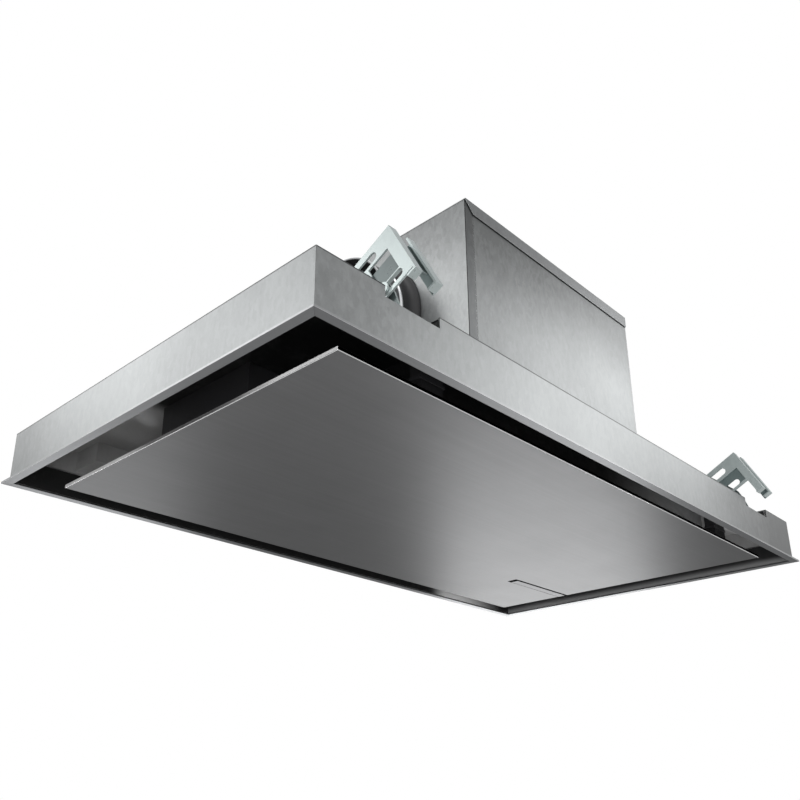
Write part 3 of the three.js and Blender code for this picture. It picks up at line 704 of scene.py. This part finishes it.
def makeCollar(form, radius, centreY, centreZ):
    # flares from the spigot out to its foot on the box
    low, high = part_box("outlet_collar")
    gap, edge, flare = metres(form, "collarGap", "collarEdge", "collarFlare")
    foot = (high.z - low.z) / 2
    neck = radius + gap
    profile = [(neck, high.x), (foot, high.x), (foot, high.x - edge)]
    for i in range(1, form["flareSteps"] + 1):
        angle = math.radians(90 * i / form["flareSteps"])
        profile.append((
            foot - (foot - neck - edge) * math.sin(angle),
            high.x - edge - (high.x - low.x - flare) * (1 - math.cos(angle)),
        ))
    profile += [(neck + edge, low.x), (neck, low.x)]
    bm = spunMesh(profile, centreY, centreZ, form["steps"])
    replaceNode(bm, "outlet_collar", ["blackPaint"])


def makeOutlet(form):
    # the bead stands highest on the spigot
    low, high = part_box("outlet_spigot")
    radius = (high.z - low.z) / 2 - form["beadHeight"] * millimetre
    centreY, centreZ = (low.y + high.y) / 2, (low.z + high.z) / 2
    makeSpigot(form, radius, centreY, centreZ)
    makeCollar(form, radius, centreY, centreZ)
    for node in ("flap_front", "flap_rear"):
        dressNode(node, ["blackPlastic"], 0)


makeOutlet(outletForm)
print("outlet done")


# "plate", "strip" and "plates" lie across from the arm's middle line, the pocket's values are on the
# hood's axes, and the two fold values are shares of the folded edge's normal
clampForm = {
    "plate": (-13.5, -12.1), "strip": 14.0, "stripMargin": 0.1, "plates": (-12.0, 13.5),
    "pocketTop": 56.3, "pocketY": 219.0, "foldOutward": 0.8, "foldUpward": 0.3,
    "armEdge": 0.3, "baseEdge": 0.2,
}


def makeClamp(form, row, side):
    # painted shade: the recessed plates, the far strip's inner face, the folded outer edge and the base's
    # upright plates take darker copies of the zinc; the pocket's other faces take the inside finish and its
    # inside black paint
    turn = 1 if row == "front" else -1
    low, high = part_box(f"clamp_arm_{row}_{side}")
    middle = (low.x + high.x) / 2
    pocket = Vector((middle, -turn * form["pocketY"] * millimetre, form["pocketTop"] * millimetre))

    def across(centre):
        return turn * (centre.x - middle) / millimetre

    def setBack(centre, normal):
        start, stop = form["plate"]
        return start < across(centre) < stop

    def stripInside(centre, normal):
        return abs(across(centre) - form["strip"]) < form["stripMargin"] and turn * normal.x < -squareOn

    def foldedEdge(centre, normal):
        return -turn * normal.y > form["foldOutward"] and normal.z > form["foldUpward"]

    def standing(centre, normal):
        start, stop = form["plates"]
        return start < across(centre) < stop and abs(normal.x) > squareOn

    def pocketOutside(centre, normal):
        return centre.z < pocket.z

    def pocketInside(centre, normal):
        return centre.z < pocket.z and normal.dot(pocket - centre) > 0

    # the front-left and rear-right clamps take the deeper painted shade on their recessed plates
    deepShade = (row == "front") == (side == "left")
    armFinishes = ["zinc", "zincDeepShade" if deepShade else "zincShade", "zincShade", "zincShade"]
    dressNode(f"clamp_arm_{row}_{side}", armFinishes, form["armEdge"], [setBack, stripInside, foldedEdge])
    baseFinishes = ["zinc", "zincDeepShade", "inner", "blackPaint"]
    baseTests = [standing, pocketOutside, pocketInside]
    dressNode(f"clamp_base_{row}_{side}", baseFinishes, form["baseEdge"], baseTests)


for row in ("front", "rear"):
    for side in ("left", "right"):
        makeClamp(clampForm, row, side)
print("clamps done")


# "clip" is how far the strip's hidden clip reaches past its face in X and Y, and the pair after it is how
# wide the painted shadow band is in X and Y
panelForm = {
    "edge": 0.9, "level": 0.985, "clip": (2.0, 3.0), "groove": (8.0, 3.2),
    "stripEdge": 0.2, "stiffenerEdge": 0.4,
}


def makePanel(form):
    low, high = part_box("suction_panel")
    edge = form["edge"] * millimetre

    def outermost(centre):
        return max(abs(centre.x) - high.x, abs(centre.y) - high.y) > -edge

    def sideFace(centre, normal):
        return outermost(centre) and abs(normal.z) < hardly

    def bevelledRim(centre, normal):
        return outermost(centre) and centre.z < low.z + edge and hardly < abs(normal.z) < form["level"]

    def pocketEdge(centre, normal):
        return not outermost(centre) and abs(normal.z) < form["level"]

    def leftSide(centre, normal):
        return sideFace(centre, normal) and normal.x < -squareOn

    # the side faces take painted shade, the bevelled rim a painted highlight, the pocket's edges a painted
    # shade line and the left side a painted glint brighter towards its ends
    panelFinishes = ["panel", "panelSide", "panelEdge", "seam", "panelSideLeft"]
    dressNode("suction_panel", panelFinishes, form["edge"], [sideFace, bevelledRim, pocketEdge, leftSide])


def makeTrimStrip(form):
    shadowBandX, shadowBandY = (
        start + (clip + groove) * millimetre
        for start, clip, groove in zip(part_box("trim_strip")[0], form["clip"], form["groove"])
    )

    def inShadowBand(centre, normal):
        # painted shadow along the strip's near side and round its inner end
        return centre.y < shadowBandY or centre.x < shadowBandX

    cuts = [((0, shadowBandY, 0), (0, 1, 0)), ((shadowBandX, 0, 0), (1, 0, 0))]
    dressNode("trim_strip", ["strip", "seam"], form["stripEdge"], [inShadowBand], cuts=cuts)


makePanel(panelForm)
makeTrimStrip(panelForm)
dressNode("panel_stiffener", ["blackPaint"], panelForm["stiffenerEdge"])
print("panel done")


linerForm = {"sheet": 1.0, "bottom": 2.4, "hem": 29.6, "top": 31.0, "gap": 0.1, "edge": 0.2}


def makeLiners(form):
    # black strips on the inner faces of the tray walls, up to just over the panel, that darken the tray's
    # inside as painted shade; the right one carries painted light low down, the rear one a painted highlight
    # patch, and the hem on top is a painted highlight line
    sheet, bottom, hem, top, gap, edge = metres(form, "sheet", "bottom", "hem", "top", "gap", "edge")
    faceX, faceY = halfTrayX - wallSheet, halfTrayY - wallSheet
    strips = {
        "Front": ((-faceX + sheet, -faceY + gap), (faceX - sheet, -faceY + sheet)),
        "Rear": ((-faceX + sheet, faceY - sheet), (faceX - sheet, faceY - gap)),
        "Left": ((-faceX + gap, -faceY + gap), (-faceX + sheet, faceY - gap)),
        "Right": ((faceX - sheet, -faceY + gap), (faceX - gap, faceY - gap)),
    }
    stripFinish = {"Front": "foam", "Rear": "linerRear", "Left": "foam", "Right": "linerRight"}
    for name, (near, far) in strips.items():
        levels = (("liner", bottom, hem, stripFinish[name]), ("linerHem", hem, top, "edgeHighlight"))
        for part, low, high, finish in levels:
            bm = boxMesh((*near, low), (*far, high))
            softenEdges(bm, edge)
            toPiece(bm, part + name, "hood_body", [finish])


makeLiners(linerForm)
print("liners done")


filterForm = {
    "rim": 11.0, "wall": 0.8, "recess": 3.0, "edge": 0.3,
    "pitch": 9.0, "slant": 0.62, "strand": 1.3, "lift": 1.2,
}


def makeFilterPan(form, node):
    rim, wall, recess, edge = metres(form, "rim", "wall", "recess", "edge")
    bm = boxMesh(*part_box(node))
    bottom = [face for face in bm.faces if face.normal.z < -squareOn]
    for inset in (rim, wall):
        bmesh.ops.inset_region(bm, faces=bottom, thickness=inset, use_even_offset=True)
    pan = {vert for face in bottom for vert in face.verts}
    bmesh.ops.translate(bm, vec=(0, 0, recess), verts=list(pan))
    softenEdges(bm, edge)
    # the pan behind the mesh takes a darker copy of the filter aluminium as painted shade
    replaceNode(bm, node, ["meshShade"])


def makeFilterMesh(form, node, name):
    # expanded metal: a slanted lattice cut to the frame's opening
    rim, wall, pitch, strand, lift = metres(form, "rim", "wall", "pitch", "strand", "lift")
    low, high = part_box(node)
    width, depth = (end - start - 2 * (rim + wall) for start, end in ((low.x, high.x), (low.y, high.y)))
    reach = (width + depth) / 2
    cells = round(2 * reach / pitch)
    bm = bmesh.new()
    bmesh.ops.create_grid(bm, x_segments=cells, y_segments=cells, size=reach)
    bmesh.ops.rotate(bm, cent=(0, 0, 0), matrix=Matrix.Rotation(math.radians(45), 3, "Z"), verts=bm.verts)
    bmesh.ops.scale(bm, vec=(1, form["slant"], 1), verts=bm.verts)
    for axis, half in (((1, 0, 0), width / 2), ((0, 1, 0), depth / 2)):
        for out in (Vector(axis), -Vector(axis)):
            cutMesh(bm, out * half, out, clear_outer=True)
    bmesh.ops.wireframe(
        bm, faces=bm.faces, thickness=strand, use_replace=True, use_boundary=True, use_even_offset=True,
    )
    middle = ((low.x + high.x) / 2, (low.y + high.y) / 2, low.z + lift)
    bmesh.ops.translate(bm, vec=middle, verts=bm.verts)
    toPiece(bm, name, nodeBody[node], ["mesh"])


for side in ("left", "right"):
    makeFilterPan(filterForm, f"grease_filter_{side}")
    makeFilterMesh(filterForm, f"grease_filter_{side}", f"filterMesh{side.capitalize()}")
print("filters done")


insideForm = {
    "edge": 0.3,
    "rounded": (
        "blower_motor", "cable_gland", "control_box", "mains_box", "magnet_catch_left", "magnet_catch_right",
        "hinge_bracket_left", "hinge_bracket_right", "panel_hinge_arm_left", "panel_hinge_arm_right",
        "filter_latch_left", "filter_latch_right",
    ),
    "plain": ("inlet_ring", "blower_wheel", "scroll_wall"),
}


def dressInside(form):
    def front(centre, normal):
        return normal.y < -squareOn

    # the filter frame's front face takes painted shade and painted light, brighter towards +X
    dressNode("filter_frame", ["blackPaint", "frameFace"], form["edge"], [front])
    for group, edge in (("rounded", form["edge"]), ("plain", 0)):
        for node in form[group]:
            dressNode(node, [slotFinish[slotOfNode[node]]], edge)


dressInside(insideForm)
print("inside done")


# each field of roof rivets is its places in X and in Y, and the lid's screws stand at their places in X
fastenerForm = {
    "radius": 3.2, "height": 1.5, "recess": 0.5, "steps": 16, "topShare": 0.72, "rimShare": 0.3,
    "roofFields": (
        ((-360, -286, 286, 360), (-60, 60)),
        ((-262, -131, 0, 131, 262), (-184, 184)),
        ((-262, 262), (-92, 0, 92)),
    ),
    "lidScrews": (-140, -47, 47, 140), "lidScrewDrop": 7,
    "seamRivetsY": (-162, 162), "seamRivetsZ": (90, 150, 210, 270),
}


def addHead(bm, form, seat, axis):
    # a flat round head with a rounded rim and a shallow dimple, standing on its seat
    radius, height, recess = metres(form, "radius", "height", "recess")
    head = bmesh.ops.create_cone(
        bm, cap_ends=True, radius1=radius, radius2=radius * form["topShare"], depth=height,
        segments=form["steps"],
    )["verts"]
    top = [face for face in {f for v in head for f in v.link_faces} if face.normal.z > squareOn]
    bmesh.ops.inset_region(bm, faces=top, thickness=radius * form["rimShare"])
    bmesh.ops.translate(bm, vec=(0, 0, -recess), verts=list({v for face in top for v in face.verts}))
    head = list({v for start in head for f in start.link_faces for v in f.verts} | set(head))
    turn = Vector((0, 0, 1)).rotation_difference(Vector(axis)).to_matrix()
    bmesh.ops.rotate(bm, cent=(0, 0, 0), matrix=turn, verts=head)
    place = Vector(seat) * millimetre + Vector(axis) * (height / 2)
    bmesh.ops.translate(bm, vec=place, verts=head)


def makeFasteners(form):
    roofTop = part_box("tray_roof")[1].z / millimetre
    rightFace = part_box("blower_box_right")[1].x / millimetre
    rearSkirt, lidTop = (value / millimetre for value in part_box("blower_box_lid")[1].yz)
    screwLevel = lidTop - form["lidScrewDrop"]
    places = {
        "roofRivets": [
            ((x, y, roofTop), (0, 0, 1))
            for placesX, placesY in form["roofFields"] for x in placesX for y in placesY
        ],
        "lidScrews": [((x, rearSkirt, screwLevel), (0, 1, 0)) for x in form["lidScrews"]],
        "seamRivets": [
            ((rightFace, y, z), (1, 0, 0)) for y in form["seamRivetsY"] for z in form["seamRivetsZ"]
        ],
    }
    for name, seats in places.items():
        bm = bmesh.new()
        for seat, axis in seats:
            addHead(bm, form, seat, axis)
        toPiece(bm, name, "hood_body", ["rivet"])


makeFasteners(fastenerForm)


ribForm = {
    "x": 222.0, "length": 300.0, "width": 13.0, "height": 2.2,
    "endShare": 0.45, "endSegments": 6, "topShare": 0.9, "topSegments": 4,
}


def makeRoofRibs(form):
    # two ribs pressed up in the roof, one at each side of the blower box
    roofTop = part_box("tray_roof")[1].z
    width, length, height = metres(form, "width", "length", "height")
    for side, way in (("Left", -1), ("Right", 1)):
        centre = way * form["x"] * millimetre
        low = (centre - width / 2, -length / 2, roofTop)
        bm = boxMesh(low, (centre + width / 2, length / 2, roofTop + height))
        corners = [e for e in bm.edges if upright(e)]
        bevelEdges(bm, corners, width * form["endShare"], form["endSegments"])
        upper = [e for e in bm.edges if all(v.co.z > roofTop + height / 2 for v in e.verts)]
        bevelEdges(bm, upper, height * form["topShare"], form["topSegments"])
        toPiece(bm, f"roofRib{side}", "hood_body", ["roof"])


makeRoofRibs(ribForm)
print("fasteners and ribs done")


def finishBareNodes():
    # nodes whose shape is right as it is only get their material
    for name, node in nodes.items():
        if not node.hide_render:
            node.data.materials.clear()
            node.data.materials.append(finishes[slotFinish[slotOfNode[name]]])


finishBareNodes()
print("bare nodes done")


studio = {
    "floorLevel": -1.6, "floorRadius": 60.0, "floorSides": 64, "fadeFrom": 1.5, "fadeTo": 6.0,
    "floorColour": (0.62, 0.62, 0.62, 1), "floorRoughness": 0.9, "floorShine": 0.1,
    "ambient": 0.55, "aim": (0.0, 0.0, 0.12),
}
# where each softbox stands, in degrees and metres from the aim, its size and how bright its face is
softboxes = {
    "frontSoftbox": {"heading": -37, "rise": 23.6, "distance": 2.6, "size": (0.85, 0.8), "radiance": 4.4},
    "endSoftbox": {"heading": 134.7, "rise": 26, "distance": 2.7, "size": (1.3, 0.9), "radiance": 3.8},
    "lowSoftbox": {"heading": 31.3, "rise": -16.6, "distance": 3.2, "size": (0.98, 0.8), "radiance": 10.3},
    "farSoftbox": {"heading": 72, "rise": -17, "distance": 3.2, "size": (0.8, 0.8), "radiance": 5.0},
    "insideSoftbox": {"heading": -140, "rise": -19, "distance": 3.0, "size": (1.2, 1.2), "radiance": 9.5},
    "topSoftbox": {"heading": -60, "rise": 78, "distance": 3.0, "size": (2.0, 2.0), "radiance": 1.5},
    "rearSoftbox": {"heading": 75, "rise": 25, "distance": 3.0, "size": (1.2, 1.0), "radiance": 2.4},
}


def seenDirectly(tree):
    path = shaderNode(tree, "ShaderNodeLightPath", {})
    seen = mathNode(tree, "MAXIMUM", path["Is Camera Ray"], path["Is Glossy Ray"])
    return mathNode(tree, "MAXIMUM", seen, path["Is Transmission Ray"])


def floorMaterial(stage):
    # fades into plain white away from the hood
    material, tree, shader, place = startMaterial("floorPale")
    setInputs(tree, shader, {
        "Base Color": stage["floorColour"], "Roughness": stage["floorRoughness"],
        "Specular IOR Level": stage["floorShine"],
    })
    flat = vectorMath(tree, "MULTIPLY", {0: place, 1: (1, 1, 0)})[0]
    fromMiddle = vectorMath(tree, "LENGTH", {0: flat})["Value"]
    fade = mapRange(tree, fromMiddle, stage["fadeFrom"], stage["fadeTo"])
    glow = shaderNode(tree, "ShaderNodeEmission", {"Color": white, "Strength": 1.0})
    factor = mathNode(tree, "MULTIPLY", fade, seenDirectly(tree))
    mix = shaderNode(tree, "ShaderNodeMixShader", {0: factor, 1: shader.outputs[0], 2: glow[0]})
    setInputs(tree, tree.nodes["Material Output"], {"Surface": mix[0]})
    return material


def makeFloor(stage):
    bm = bmesh.new()
    bmesh.ops.create_circle(bm, cap_ends=True, radius=stage["floorRadius"], segments=stage["floorSides"])
    bmesh.ops.translate(bm, vec=(0, 0, stage["floorLevel"]), verts=bm.verts)
    mesh = bpy.data.meshes.new("floor")
    bm.to_mesh(mesh)
    bm.free()
    mesh.materials.append(floorMaterial(stage))
    floor = addObject("floor", mesh)


def makeWorld(stage):
    # white where it is seen, and dimmer as light
    world = bpy.data.worlds.new("studio")
    world.use_nodes = True
    bpy.context.scene.world = world
    tree = world.node_tree
    light = tree.nodes["Background"]
    setInputs(tree, light, {"Color": white, "Strength": stage["ambient"]})
    plain = shaderNode(tree, "ShaderNodeBackground", {"Color": white, "Strength": 1.0})
    mix = shaderNode(tree, "ShaderNodeMixShader", {0: seenDirectly(tree), 1: light.outputs[0], 2: plain[0]})
    setInputs(tree, tree.nodes["World Output"], {"Surface": mix[0]})


def makeSoftbox(name, box, aim):
    out = direction(box["heading"], box["rise"])
    lamp = bpy.data.lights.new(name, "AREA")
    lamp.shape = "RECTANGLE"
    width, height = box["size"]
    lamp.size, lamp.size_y = width, height
    lamp.energy = box["radiance"] * math.pi * width * height
    holder = addObject(name, lamp)
    holder.location = Vector(aim) + out * box["distance"]
    holder.rotation_mode = "QUATERNION"
    holder.rotation_quaternion = (-out).to_track_quat("-Z", "Y")
    holder.visible_camera = False


def makeStudio():
    makeFloor(studio)
    makeWorld(studio)
    for name, box in softboxes.items():
        makeSoftbox(name, box, studio["aim"])
    bpy.context.scene.view_settings.view_transform = "Standard"


makeStudio()
print("studio done")
